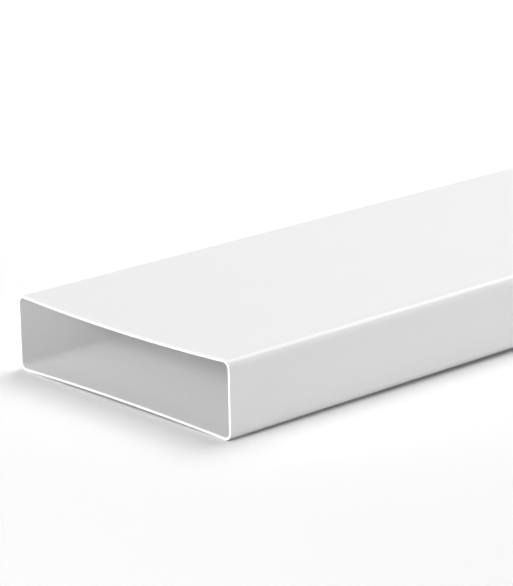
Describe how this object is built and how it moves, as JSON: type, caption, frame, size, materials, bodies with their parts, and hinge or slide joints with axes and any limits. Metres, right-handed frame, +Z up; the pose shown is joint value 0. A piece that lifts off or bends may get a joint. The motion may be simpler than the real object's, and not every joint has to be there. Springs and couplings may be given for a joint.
{
  "type": "flat channel duct",
  "caption": "Straight rectangular ventilation channel in white rigid plastic, open and cut square at both ends, with rounded long corners and wide walls that bow slightly inwards.",
  "frame": {"origin": "middle of the footprint, level with the underside of the two lower long corners", "axes": "+X across the width, +Y along the length, away from the end seen in the picture, +Z up through the wide top wall"},
  "size_m": [0.22, 1, 0.055],
  "materials": {
    "duct_plastic": "smooth extruded white, softly glossy; matt where it is sawn"
  },
  "bodies": {
    "root": {"channel_duct": "duct_plastic"}
  },
  "joints": []
}
